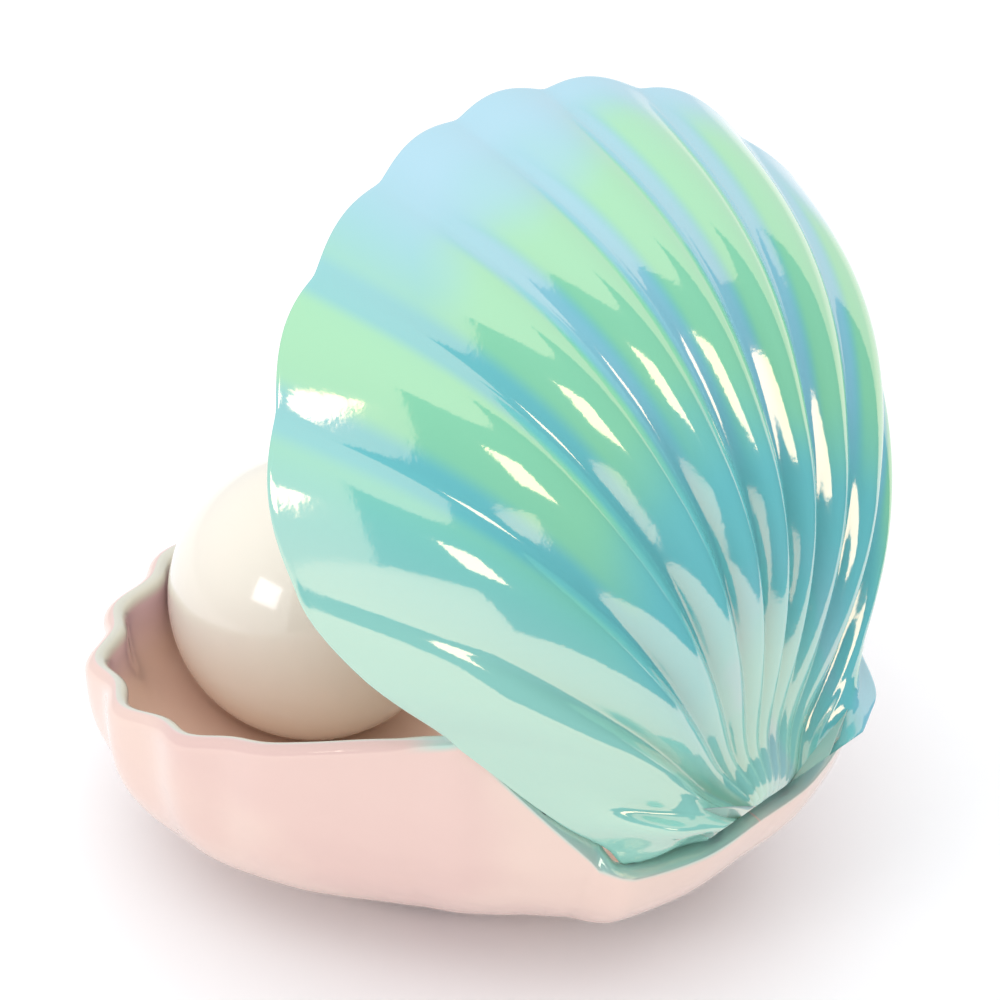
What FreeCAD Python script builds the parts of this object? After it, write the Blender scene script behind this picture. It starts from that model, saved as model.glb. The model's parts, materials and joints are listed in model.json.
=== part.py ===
import FreeCAD, Part
import math
import os
from FreeCAD import Vector, Rotation, Placement

os.makedirs("parts", exist_ok=True)
doc = FreeCAD.newDocument("bubbling_clam")
sheet = doc.addObject("Spreadsheet::Sheet", "Sheet")

# Driving dimensions in millimetres and degrees.
DIMENSIONS = [
    # placing of the shell in the frame
    ("hinge_front_line", 74.86), ("rim_plane_height", 54.0), ("gape_angle", 60.0),
    ("seam_height", 52.0), ("axis_back", 2.0), ("lift_relief_angle", 11.0), ("seam_gap", 0.3),
    ("slip_fit", 0.05), ("loose_fit", 0.2),
    # upper valve
    ("fan_length", 178.0), ("dome_height", 53.5), ("umbo_back", 15.0), ("fan_curl", 0.12),
    ("rib_depth", 4.6), ("rib_pitch", 9.3), ("rib_spread", 0.11), ("margin_lobe", 2.2),
    ("dome_wall", 5.2), ("ear_lift", 7.0), ("ear_hollow", 3.5),
    # lower valve
    ("bowl_middle", 88.0), ("bowl_bottom", 4.5), ("bowl_wall", 6.0), ("bowl_lobe", 1.5),
    ("bowl_floor", 18.0), ("bowl_ceiling", 112.0),
    # pearl and its fixing
    ("pearl_radius", 37.7), ("pearl_side", 11.7), ("pearl_front", 128.5), ("pearl_height", 52.0),
    ("dimple_gap", 0.3), ("seat_radius", 15.0), ("seat_height", 1.0), ("insert_radius", 4.0),
    ("insert_length", 12.0), ("pearl_screw_radius", 2.5), ("pearl_screw_grip", 16.0),
    ("pearl_head_radius", 5.5), ("pearl_head_height", 2.5), ("washer_radius", 6.5),
    ("washer_height", 1.0), ("screw_well_radius", 7.0),
    # air line
    ("stone_radius", 10.0), ("stone_length", 16.0), ("stone_front", 73.0), ("stone_lift", 4.0),
    ("stone_socket", 7.0), ("stem_radius", 2.5), ("air_bore", 1.5), ("stem_arm", 10.0),
    ("elbow_radius", 3.0), ("stem_hole_radius", 4.1), ("collar_radius", 6.0),
    ("collar_height", 1.0), ("spigot_radius", 2.5), ("spigot_height", 10.2),
    ("spigot_inside", 12.0), ("spigot_free", 12.0), ("flange_radius", 3.9),
    ("flange_height", 1.6), ("inlet_hole_radius", 3.7), ("inlet_recess_radius", 7.0),
    ("inlet_collar_radius", 5.4), ("tube_radius", 3.0), ("tube_start", 7.0), ("tube_length", 10.0),
    # base
    ("plinth_radius", 49.5), ("plinth_top", 13.0), ("pocket_radius", 36.5), ("pocket_top", 14.0),
    ("cover_radius", 35.9), ("cover_height", 2.0), ("cover_screw_circle", 31.0),
    ("boss_radius", 4.0), ("cover_insert_radius", 2.2), ("cover_insert_length", 5.0),
    ("foot_radius", 5.0), ("foot_height", 4.5), ("foot_circle", 43.0),
    # hinge
    ("rod_radius", 1.5), ("rod_half", 21.0), ("clip_height", 1.0), ("clip_radius", 2.9),
    ("lug_radius", 3.4), ("bush_radius", 2.4), ("lower_lug_side", 17.5), ("upper_lug_side", 7.0),
    ("lug_width", 4.0), ("plate_height", 2.0), ("plate_half", 22.0), ("plate_depth", 10.0),
    ("plate_front", 9.0), ("lower_land_top", 43.0), ("upper_land_bottom", 60.0),
    ("small_screw_radius", 1.5), ("small_screw_length", 6.5), ("small_head_height", 1.8),
    ("bracket_screw_side", 12.5), ("bracket_screw_front", 4.0),
    ("land_half", 24.0), ("land_front", 11.0), ("land_back", 19.0), ("land_depth", 14.0),
    ("room_half", 23.0), ("room_front", 6.0), ("room_back", 3.8), ("room_depth", 30.0),
    ("upper_land_front", 10.0), ("upper_land_back", 43.0), ("upper_land_height", 16.0),
    ("slot_width", 0.8), ("slot_depth", 0.7), ("slot_length", 6.0),
    ("pad_side", 52.0), ("pad_radius", 1.8), ("pad_height", 1.8), ("pad_socket", 1.4),
    ("pad_level", 70.0),
]
for row, (alias, value) in enumerate(DIMENSIONS, start=1):
    sheet.set("A%d" % row, alias)
    sheet.set("B%d" % row, str(value))
    sheet.setAlias("B%d" % row, alias)
doc.recompute()


def dim(alias):
    return float(getattr(sheet, alias))


# Outline of the upper valve: reach from the hinge against the angle off the centre line.
FAN_REACH = [(0, 1.0), (20, 0.966), (35, 0.877), (45, 0.775), (51, 0.640), (57, 0.480),
             (65, 0.373), (75, 0.297), (90, 0.227), (104, 0.213)]
FAN_HEIGHT = [(0, 1.0), (30, 0.80), (60, 0.47), (80, 0.53), (90, 0.28), (104, 0.0)]
FAN_EDGE = 104
CREST = 0.49

# Outline, wall top and wall fullness of the lower valve against the angle off the front.
BOWL_REACH = [(0, 86), (20, 87.5), (40, 92), (55, 94.6), (70, 94), (85, 91.3), (100, 88.5),
              (115, 86.5), (125, 88.5), (134, 93.5), (145, 96), (152, 98.5), (158, 104.5),
              (168, 104.5), (180, 103)]
BOWL_TOP = [(0, 51), (50, 57), (79, 64), (102, 75), (122, 85), (134, 92), (144, 78),
            (152, 62), (160, 55), (180, 55)]
BOWL_FULLNESS = [(0, 3.0), (90, 3.2), (134, 3.0), (160, 2.3), (180, 2.3)]
# Height of the mouth rim against the distance in front of the hinge.
MOUTH_RIM = [(-8, 100), (10, 97), (22, 92), (45, 83), (69, 75), (106, 64.5), (149, 55), (172, 51),
             (200, 48)]


def blend(x):
    x = min(max(x, 0.0), 1.0)
    return x * x * (3 - 2 * x)


def curve(knots, x):
    """Smooth monotone curve through the knots."""
    if x <= knots[0][0]:
        return knots[0][1]
    if x >= knots[-1][0]:
        return knots[-1][1]
    last = len(knots) - 1
    i = max(j for j in range(last) if knots[j][0] <= x)

    def slope(j):
        if j == 0 or j == last:
            return 0.0
        before = (knots[j][1] - knots[j - 1][1]) / (knots[j][0] - knots[j - 1][0])
        after = (knots[j + 1][1] - knots[j][1]) / (knots[j + 1][0] - knots[j][0])
        if before * after <= 0:
            return 0.0
        return 2 * before * after / (before + after)

    width = knots[i + 1][0] - knots[i][0]
    f = (x - knots[i][0]) / width
    return ((1 + 2 * f) * (1 - f) ** 2 * knots[i][1] + f * (1 - f) ** 2 * width * slope(i)
            + f * f * (3 - 2 * f) * knots[i + 1][1] + f * f * (f - 1) * width * slope(i + 1))


def rib_angle(number):
    return dim("rib_pitch") * number + dim("rib_spread") * number ** 3


def rib_height(number):
    """0 in a groove, 1 on a rib, fading on the plain flank beside the last rib."""
    number = abs(number)
    if number <= 4.5:
        return abs(math.sin(math.pi * number)) ** 0.8
    return 1 - blend((number - 4.5) / 1.3)


def dome_profile(along):
    if along < CREST:
        f = along / CREST
        return 1.84 * (f ** 3 - 2 * f * f + f) + 3 * f * f - 2 * f ** 3
    f = min((along - CREST) / (1 - CREST), 1)
    return (1 - f ** 2.5) ** 1.1


def dome_point(angle, number, along, inset, rib_share, sink):
    """Point of the dome skin: angle off the centre line, share of the way from umbo to rim."""
    off = abs(angle)
    rib = rib_height(number)
    lobe = dim("margin_lobe") * (rib - 0.5) * along ** 3 * (1 - blend((abs(number) - 4.2) / 1.2))
    reach = dim("fan_length") * curve(FAN_REACH, off) - inset + lobe
    fan = math.radians(angle * (1 + dim("fan_curl") * (1 - along)))
    rise = (dim("dome_height") - inset + sink) * curve(FAN_HEIGHT, off) * dome_profile(along)
    swell = min(1, along / 0.3) * (1 - along ** 6) * min(1, reach * along / 70 + 0.15)
    rise += dim("rib_depth") * rib_share * swell * (rib - 0.6) * (1 - blend((off - 62) / 20))
    ear = math.exp(-((off - 86) / 13.0) ** 2 - ((along - 0.85) / 0.15) ** 2)
    rise += dim("ear_lift") * ear * blend((FAN_EDGE - off) / 10.0)
    hollow = math.exp(-((off - 70) / 8.0) ** 2 - ((along - 0.72) / 0.16) ** 2)
    rise -= dim("ear_hollow") * hollow
    if along in (0, 1) or off >= FAN_EDGE:
        rise = 0
    out = reach * (along + 0.012) * math.cos(fan) - (dim("umbo_back") - inset) * (1 - along) ** 2
    side = reach * (along + 0.012) * math.sin(fan)
    return rim_plane_to_frame(out, side, max(rise, 0) - sink)


def rim_plane_to_frame(out, side, rise):
    gape = math.radians(dim("gape_angle"))
    return Vector(side,
                  dim("hinge_front_line") - out * math.cos(gape) + rise * math.sin(gape),
                  dim("rim_plane_height") + out * math.sin(gape) + rise * math.cos(gape))


def skin(rows):
    surface = Part.BSplineSurface()
    surface.interpolate(rows)
    return surface.toShape().Faces[0]


def closed_solid(faces):
    shell = Part.Shell(faces)
    shell.sewShape()
    solid = Part.Solid(Part.Shell(shell.Faces))
    if solid.Volume < 0:
        solid.reverse()
    return solid


def dome_solid(inset, rib_share, sink):
    """Solid under the dome skin, closed by a ruled face close to the rim plane."""
    numbers = [i / 8.0 for i in range(-44, 45)]
    outer_angles = [74, 80, 85, 89, 93, 97, 101, FAN_EDGE]
    stations = [(-a, -6.0) for a in reversed(outer_angles)]
    stations += [(rib_angle(n), n) for n in numbers]
    stations += [(a, 6.0) for a in outer_angles]
    shares = [0, 0.02, 0.05, 0.1, 0.16, 0.24, 0.33, 0.42, 0.51, 0.6, 0.69, 0.77, 0.84, 0.9, 0.95,
              0.98, 1]
    rows = [[dome_point(a, n, k, inset, rib_share, sink) for k in shares] for a, n in stations]
    for row in (rows[0], rows[-1]):
        first, last = row[0], row[-1]
        row[:] = [first + (last - first) * k for k in shares]
    top = skin(rows)
    umbo_edge = min(top.Edges, key=lambda edge: edge.BoundBox.DiagonalLength)
    rim_edge = max(top.Edges, key=lambda edge: edge.Length)
    base = Part.makeRuledSurface(umbo_edge, rim_edge).Faces[0]
    return closed_solid([top, base])


def bowl_point(angle, drop, inset, floor):
    """Point of the bowl skin: angle off the front, drop 0 at the wall top to 90 at the bottom."""
    off = abs(angle)
    power = 2.0 / curve(BOWL_FULLNESS, off)
    top = curve(BOWL_TOP, off)
    level = math.cos(math.radians(drop))
    lobe = dim("bowl_lobe") * math.cos(2 * math.pi * angle / 17.0) * (1 - blend((off - 80) / 30.0))
    reach = (curve(BOWL_REACH, off) - inset + lobe * level ** 2) * level ** power
    height = top - (top - floor) * math.sin(math.radians(drop)) ** power
    turn = math.radians(angle)
    middle = dim("hinge_front_line") - dim("bowl_middle")
    return Vector(reach * math.sin(turn), middle - reach * math.cos(turn), height)


def bowl_solid(inset, floor):
    angles = [i * 180 / 54.0 for i in range(-54, 54)]
    loops = []
    for drop in (80, 73, 66, 60, 54, 48, 42, 36, 30, 24, 18, 11, 0):
        points = [bowl_point(a, drop, inset, floor) for a in angles]
        if not loops:
            points = [Vector(p.x, p.y, floor) for p in points]
        loops.append(points)
    loops.append([Vector(p.x, p.y, dim("bowl_ceiling")) for p in loops[-1]])
    wires = []
    for points in loops:
        loop = Part.BSplineCurve()
        loop.interpolate(Points=points, PeriodicFlag=True)
        wires.append(Part.Wire([loop.toShape()]))
    return Part.makeLoft(wires, True, True)


def across(outline):
    """Prism along X from an outline of (y, z) pairs."""
    wide = 260.0
    points = [Vector(-wide / 2, y, z) for y, z in outline]
    return Part.Face(Part.makePolygon(points + points[:1])).extrude(Vector(wide, 0, 0))


line_y = dim("hinge_front_line")
axis_y = line_y + dim("axis_back")
axis_z = dim("seam_height")
gape = math.radians(dim("gape_angle"))
pearl_y = line_y - dim("pearl_front")
middle_y = line_y - dim("bowl_middle")
stone_y = line_y - dim("stone_front")


def on_rim_plane(height, drop):
    """Y of the rim plane at a height, drop measured square to the plane toward the bowl."""
    return line_y - (height - dim("rim_plane_height")) / math.tan(gape) - drop / math.sin(gape)


def mouth_cutter():
    """Everything above the lower valve's rim, its cheeks and its back edge."""
    gap = dim("seam_gap")
    relief = math.tan(math.radians(dim("lift_relief_angle")))
    high = 130.0
    outline = [(line_y - 200, high)]
    steps = 40
    meeting = 0
    for i in range(steps + 1):
        front = 200.0 - i * 208.0 / steps
        y, z = line_y - front, curve(MOUTH_RIM, front)
        if y > on_rim_plane(z, gap):
            break
        outline.append((y, z))
        meeting = z
    z = meeting
    while on_rim_plane(z, gap) > outline[-1][0] + 2.0 and z < high:
        z += 0.5
    outline.append((on_rim_plane(z, gap), z))
    outline.append((on_rim_plane(axis_z - gap, gap), axis_z - gap))
    outline.append((axis_y, axis_z - gap))
    outline.append((axis_y + 40, axis_z - gap - 40 * relief))
    outline.append((axis_y + 40, high))
    return across(outline)


def named(name, shape):
    """Shape feature at the frame origin."""
    feature = doc.addObject("Part::Feature", name)
    feature.Label = name
    feature.Shape = shape
    feature.Placement = Placement()
    return feature


def primitive(kind, name, sizes, place=None, turn=None):
    """Part primitive with sizes and position bound to the sheet."""
    item = doc.addObject("Part::" + kind, name)
    item.Label = name
    if turn:
        item.Placement = Placement(Vector(), Rotation(turn[0], turn[1]))
    for prop, expression in sizes.items():
        item.setExpression(prop, expression)
    for axis, expression in (place or {}).items():
        item.setExpression("Placement.Base." + axis, expression)
    return item


def joined(name, items):
    fusion = doc.addObject("Part::MultiFuse", name)
    fusion.Label = name
    fusion.Shapes = items
    return fusion


def taken(name, base, tools):
    for number, tool in enumerate(tools):
        cut = doc.addObject("Part::Cut", name + "_cut%d" % number)
        cut.Base = base
        cut.Tool = tool
        base = cut
    base.Label = name
    return base


UP = (Vector(0, 0, 1), 0)
ALONG_X = (Vector(0, 1, 0), 90)
ALONG_Y = (Vector(1, 0, 0), -90)
AXIS_Y = "Sheet.hinge_front_line + Sheet.axis_back"
PEARL_Y = "Sheet.hinge_front_line - Sheet.pearl_front"
STONE_Y = "Sheet.hinge_front_line - Sheet.stone_front"
MIDDLE_Y = "Sheet.hinge_front_line - Sheet.bowl_middle"
SIDES = (("left", "-"), ("right", ""))
nodes = {}


def round_bar(name, radius, length, x="0", y="0", z="0", turn=UP):
    return primitive("Cylinder", name, {"Radius": radius, "Height": length},
                     {"x": x, "y": y, "z": z}, turn)


def ball(name, radius, x, y, z):
    return primitive("Sphere", name, {"Radius": radius}, {"x": x, "y": y, "z": z})


def block(name, length, width, height, x, y, z):
    return primitive("Box", name, {"Length": length, "Width": width, "Height": height},
                     {"x": x, "y": y, "z": z})


def keep(name, item):
    item.Label = name
    nodes[name] = item


def screw(name, x, y, seat, head_up):
    """Small pan-head screw: shank from the seat into the work, slotted head on the free side."""
    if head_up:
        shank_low = seat + " - Sheet.small_screw_length"
        head_low = seat
        slot_low = seat + " + Sheet.small_head_height - Sheet.slot_depth"
    else:
        shank_low = seat
        head_low = seat + " - Sheet.small_head_height"
        slot_low = head_low
    bar = round_bar(name + "_bar", "Sheet.small_screw_radius", "Sheet.small_screw_length", x, y,
                    shank_low)
    head = round_bar(name + "_head", "Sheet.small_screw_radius * 1.9", "Sheet.small_head_height",
                     x, y, head_low)
    slot = block(name + "_slot", "Sheet.slot_length", "Sheet.slot_width", "Sheet.slot_depth",
                 x + " - Sheet.slot_length / 2", y + " - Sheet.slot_width / 2", slot_low)
    keep(name, taken(name, joined(name + "_all", [bar, head]), [slot]))


def sleeve(name, radius, bore, length, x, y, z, turn=UP):
    """Plain tube with open ends."""
    body = round_bar(name + "_body", radius, length, x, y, z, turn)
    hole = round_bar(name + "_hole", bore, length, x, y, z, turn)
    keep(name, taken(name, body, [hole]))


# ---- pearl and its fixing -------------------------------------------------------------------
FLAT_Z = "Sheet.bowl_floor + Sheet.seat_height"
HEAD_Z = "Sheet.pocket_top - Sheet.washer_height - Sheet.pearl_head_height"
pearl_ball = ball("pearl_ball", "Sheet.pearl_radius", "Sheet.pearl_side", PEARL_Y,
                  "Sheet.pearl_height")
pearl_flat = block("pearl_flat", "Sheet.pearl_radius * 2", "Sheet.pearl_radius * 2", FLAT_Z,
                   "Sheet.pearl_side - Sheet.pearl_radius", PEARL_Y + " - Sheet.pearl_radius", "0")
pearl_bore = round_bar("pearl_bore", "Sheet.insert_radius + Sheet.slip_fit",
                       "Sheet.insert_length + " + FLAT_Z, "Sheet.pearl_side", PEARL_Y)
keep("pearl", taken("pearl", pearl_ball, [pearl_flat, pearl_bore]))
sleeve("pearl_insert", "Sheet.insert_radius", "Sheet.pearl_screw_radius + Sheet.slip_fit",
       "Sheet.insert_length", "Sheet.pearl_side", PEARL_Y, FLAT_Z)
sleeve("pearl_seat", "Sheet.seat_radius", "Sheet.insert_radius + Sheet.loose_fit",
       "Sheet.seat_height", "Sheet.pearl_side", PEARL_Y, "Sheet.bowl_floor")
sleeve("pearl_washer", "Sheet.washer_radius", "Sheet.pearl_screw_radius + Sheet.loose_fit",
       "Sheet.washer_height", "Sheet.pearl_side", PEARL_Y,
       "Sheet.pocket_top - Sheet.washer_height")
shank = round_bar("pearl_screw_shank", "Sheet.pearl_screw_radius",
                  "Sheet.pearl_head_height + Sheet.pearl_screw_grip", "Sheet.pearl_side", PEARL_Y,
                  HEAD_Z)
head = round_bar("pearl_screw_head", "Sheet.pearl_head_radius", "Sheet.pearl_head_height",
                 "Sheet.pearl_side", PEARL_Y, HEAD_Z)
slot = block("pearl_screw_slot", "Sheet.pearl_head_radius * 2 + 2", "1.2", "1.2",
             "Sheet.pearl_side - Sheet.pearl_head_radius - 1", PEARL_Y + " - 0.6",
             HEAD_Z + " - 0.2")
keep("pearl_screw", taken("pearl_screw", joined("pearl_screw_all", [shank, head]), [slot]))

# ---- air line: stone, stem, grommets, tube, spigot ------------------------------------------
STONE_Z = "Sheet.bowl_floor + Sheet.stone_lift"
LINE_Z = "Sheet.spigot_height"
SPIGOT_Y = STONE_Y + " + Sheet.spigot_inside"
stone_body = round_bar("stone_body", "Sheet.stone_radius", "Sheet.stone_length", "0", STONE_Y,
                       STONE_Z)
stone_hole = round_bar("stone_hole", "Sheet.stem_radius + Sheet.slip_fit", "Sheet.stone_socket",
                       "0", STONE_Y, STONE_Z)
keep("air_stone", taken("air_stone", stone_body, [stone_hole]))

RISE = STONE_Z + " + Sheet.stone_socket - 1 - " + LINE_Z
stem_parts = [
    round_bar("stem_riser", "Sheet.stem_radius", RISE, "0", STONE_Y, LINE_Z),
    round_bar("stem_flange", "Sheet.flange_radius", "1.4", "0", STONE_Y, STONE_Z + " - 1.5"),
    ball("stem_elbow", "Sheet.elbow_radius", "0", STONE_Y, LINE_Z),
    round_bar("stem_arm", "Sheet.stem_radius", "Sheet.stem_arm", "0", STONE_Y, LINE_Z, ALONG_Y)]
stem_bores = [
    round_bar("stem_bore_up", "Sheet.air_bore", "Sheet.bowl_floor + Sheet.stone_length", "0",
              STONE_Y, LINE_Z),
    round_bar("stem_bore_back", "Sheet.air_bore", "Sheet.stem_arm + 2", "0", STONE_Y, LINE_Z,
              ALONG_Y)]
keep("stone_stem", taken("stone_stem", joined("stem_all", stem_parts), stem_bores))

WALL = "Sheet.bowl_floor - Sheet.pocket_top"
UNDER_COLLAR = "Sheet.pocket_top - Sheet.loose_fit - Sheet.collar_height"
grommet_parts = [
    round_bar("stem_grommet_neck", "Sheet.stem_hole_radius - 2 * Sheet.slip_fit",
              WALL + " + 2 * Sheet.loose_fit + 2 * Sheet.collar_height", "0", STONE_Y,
              UNDER_COLLAR),
    round_bar("stem_grommet_under", "Sheet.collar_radius", "Sheet.collar_height", "0", STONE_Y,
              UNDER_COLLAR),
    round_bar("stem_grommet_over", "Sheet.collar_radius", "Sheet.collar_height", "0", STONE_Y,
              "Sheet.bowl_floor + Sheet.loose_fit")]
grommet_hole = round_bar("stem_grommet_hole", "Sheet.stem_radius + Sheet.slip_fit",
                         "Sheet.bowl_floor", "0", STONE_Y, LINE_Z)
keep("stem_grommet", taken("stem_grommet", joined("stem_grommet_all", grommet_parts),
                           [grommet_hole]))

INNER_WALL_Y = MIDDLE_Y + " + Sheet.pocket_radius"
OUTER_WALL_Y = MIDDLE_Y + " + Sheet.plinth_radius"
inlet_parts = [
    round_bar("inlet_grommet_neck", "Sheet.inlet_hole_radius - 2 * Sheet.slip_fit",
              "Sheet.plinth_radius - Sheet.pocket_radius + 1", "0", INNER_WALL_Y, LINE_Z, ALONG_Y),
    round_bar("inlet_grommet_collar", "Sheet.inlet_collar_radius", "Sheet.flange_height", "0",
              OUTER_WALL_Y, LINE_Z, ALONG_Y)]
inlet_hole = round_bar("inlet_grommet_hole", "Sheet.spigot_radius + Sheet.slip_fit",
                       "Sheet.plinth_radius", "0", SPIGOT_Y, LINE_Z, ALONG_Y)
keep("inlet_grommet", taken("inlet_grommet", joined("inlet_grommet_all", inlet_parts),
                            [inlet_hole]))

FLANGE_Y = OUTER_WALL_Y + " + Sheet.flange_height + Sheet.slip_fit"
SPIGOT_LENGTH = FLANGE_Y + " + Sheet.flange_height + Sheet.spigot_free - (" + SPIGOT_Y + ")"
spigot_tube = round_bar("spigot_tube", "Sheet.spigot_radius", SPIGOT_LENGTH, "0",
                        SPIGOT_Y, LINE_Z, ALONG_Y)
spigot_flange = round_bar("spigot_flange", "Sheet.flange_radius", "Sheet.flange_height", "0",
                          FLANGE_Y, LINE_Z, ALONG_Y)
spigot_hole = round_bar("spigot_hole", "Sheet.air_bore", SPIGOT_LENGTH, "0",
                        SPIGOT_Y, LINE_Z, ALONG_Y)
keep("air_inlet_spigot", taken("air_inlet_spigot", joined("spigot_all", [spigot_tube,
                                                                        spigot_flange]),
                               [spigot_hole]))
sleeve("inner_air_tube", "Sheet.tube_radius", "Sheet.stem_radius + Sheet.slip_fit",
       "Sheet.tube_length", "0", STONE_Y + " + Sheet.tube_start", LINE_Z, ALONG_Y)

# ---- hinge ----------------------------------------------------------------------------------
SCREW_Y = AXIS_Y + " - Sheet.bracket_screw_front"
PLATE_Y = AXIS_Y + " - Sheet.plate_front"


def bracket(name, side, plate_z, low, high, hole_radius):
    """Plate with two round-ended lugs that carry the hinge rod."""
    parts = [block(name + "_plate", "Sheet.plate_half * 2", "Sheet.plate_depth",
                   "Sheet.plate_height", "-Sheet.plate_half", PLATE_Y, plate_z)]
    holes = [round_bar(name + "_eye_hole", hole_radius, "Sheet.rod_half * 2", "-Sheet.rod_half",
                       AXIS_Y, "Sheet.seam_height", ALONG_X)]
    for word, sign in SIDES:
        start = sign + "Sheet." + side + " - Sheet.lug_width / 2"
        parts.append(round_bar(name + word + "_eye", "Sheet.lug_radius", "Sheet.lug_width", start,
                               AXIS_Y, "Sheet.seam_height", ALONG_X))
        parts.append(block(name + word + "_neck", "Sheet.lug_width", "Sheet.lug_radius * 2 - 0.6",
                           "(" + high + ") - (" + low + ")", start,
                           AXIS_Y + " - Sheet.lug_radius + 0.3", low))
        holes.append(round_bar(name + word + "_screw_hole",
                               "Sheet.small_screw_radius + Sheet.loose_fit",
                               "Sheet.plate_height", sign + "Sheet.bracket_screw_side", SCREW_Y,
                               plate_z))
    keep(name, taken(name, joined(name + "_all", parts), holes))


bracket("lower_hinge_bracket", "lower_lug_side", "Sheet.lower_land_top", "Sheet.lower_land_top",
        "Sheet.seam_height", "Sheet.rod_radius + Sheet.slip_fit")
bracket("upper_hinge_bracket", "upper_lug_side", "Sheet.upper_land_bottom - Sheet.plate_height",
        "Sheet.seam_height", "Sheet.upper_land_bottom", "Sheet.bush_radius + Sheet.slip_fit")
keep("hinge_rod", round_bar("hinge_rod", "Sheet.rod_radius", "Sheet.rod_half * 2",
                            "-Sheet.rod_half", AXIS_Y, "Sheet.seam_height", ALONG_X))
clip_starts = {"left": "-Sheet.rod_half + 0.4", "right": "Sheet.rod_half - 0.4 - Sheet.clip_height"}
for word, sign in SIDES:
    sleeve("hinge_bush_" + word, "Sheet.bush_radius", "Sheet.rod_radius + Sheet.slip_fit",
           "Sheet.lug_width + 1", sign + "Sheet.upper_lug_side - Sheet.lug_width / 2 - 0.5",
           AXIS_Y, "Sheet.seam_height", ALONG_X)
    sleeve("rod_clip_" + word, "Sheet.clip_radius", "Sheet.rod_radius + Sheet.slip_fit",
           "Sheet.clip_height", clip_starts[word], AXIS_Y, "Sheet.seam_height", ALONG_X)
    screw_x = sign + "Sheet.bracket_screw_side"
    screw("lower_bracket_screw_" + word, screw_x, SCREW_Y,
          "Sheet.lower_land_top + Sheet.plate_height", True)
    screw("upper_bracket_screw_" + word, screw_x, SCREW_Y,
          "Sheet.upper_land_bottom - Sheet.plate_height", False)

# ---- base: cover, screws, inserts, feet -----------------------------------------------------
COVER_TOP = "Sheet.bowl_bottom + Sheet.cover_height"
COVER_SCREW_TURNS = (0, 120, 240)
FOOT_TURNS = (85, 175, 265, 355)


def on_circle(circle, turn_angle):
    """Sheet expressions for a spot on a circle about the bowl's middle."""
    return ("Sheet.%s * cos(%d)" % (circle, turn_angle),
            MIDDLE_Y + " + Sheet.%s * sin(%d)" % (circle, turn_angle))


cover_disc = round_bar("cover_disc", "Sheet.cover_radius", "Sheet.cover_height", "0", MIDDLE_Y,
                       "Sheet.bowl_bottom")
cover_holes = []
for number, turn_angle in enumerate(COVER_SCREW_TURNS, start=1):
    spot_x, spot_y = on_circle("cover_screw_circle", turn_angle)
    cover_holes.append(round_bar("cover_hole_%d" % number,
                                 "Sheet.small_screw_radius + Sheet.loose_fit",
                                 "Sheet.cover_height", spot_x, spot_y, "Sheet.bowl_bottom"))
    screw("cover_screw_%d" % number, spot_x, spot_y, "Sheet.bowl_bottom", False)
    sleeve("cover_insert_%d" % number, "Sheet.cover_insert_radius",
           "Sheet.small_screw_radius + Sheet.slip_fit", "Sheet.cover_insert_length", spot_x,
           spot_y, COVER_TOP)
keep("base_cover", taken("base_cover", cover_disc, cover_holes))
for number, turn_angle in enumerate(FOOT_TURNS, start=1):
    spot_x, spot_y = on_circle("foot_circle", turn_angle)
    keep("rubber_foot_%d" % number,
         primitive("Cone", "rubber_foot_%d" % number,
                   {"Radius1": "Sheet.foot_radius - 0.8", "Radius2": "Sheet.foot_radius",
                    "Height": "Sheet.foot_height"}, {"x": spot_x, "y": spot_y, "z": "0"}))
doc.recompute()


# ---- lower valve ----------------------------------------------------------------------------
def box(low, high):
    """Box between two corners given as (x, y, z)."""
    size = [b - a for a, b in zip(low, high)]
    return Part.makeBox(size[0], size[1], size[2], Vector(*low))


def post(radius, x, y, low, high):
    """Upright cylinder between two heights."""
    return Part.makeCylinder(radius, high - low, Vector(x, y, low))


bottom, floor, pocket_top = dim("bowl_bottom"), dim("bowl_floor"), dim("pocket_top")
land_half, land_depth, land_top = dim("land_half"), dim("land_depth"), dim("lower_land_top")
land_front, land_back = axis_y - dim("land_front"), axis_y + dim("land_back")
bowl_outer = bowl_solid(0.0, bottom)
bowl_inner = bowl_solid(dim("bowl_wall"), floor)
land = box((-land_half, land_front, land_top - land_depth), (land_half, land_back, land_top))
wedge = across([(land_front, land_top - land_depth), (land_front, land_top - 5),
                (axis_y, land_top - land_depth)])
land = land.cut(wedge).common(bowl_outer)
plinth = post(dim("plinth_radius"), 0, middle_y, bottom, dim("plinth_top"))
lower = bowl_outer.cut(bowl_inner).fuse([land, plinth])
lower = lower.cut(post(dim("pocket_radius"), 0, middle_y, bottom - 1, pocket_top))
bosses = []
for turn_angle in COVER_SCREW_TURNS:
    x = dim("cover_screw_circle") * math.cos(math.radians(turn_angle))
    y = middle_y + dim("cover_screw_circle") * math.sin(math.radians(turn_angle))
    boss_low = bottom + dim("cover_height")
    hole = post(dim("cover_insert_radius") + dim("slip_fit"), x, y, boss_low,
                boss_low + dim("cover_insert_length") + 1)
    bosses.append(post(dim("boss_radius"), x, y, boss_low, pocket_top + 1).cut(hole))
lower = lower.fuse(bosses)

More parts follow.
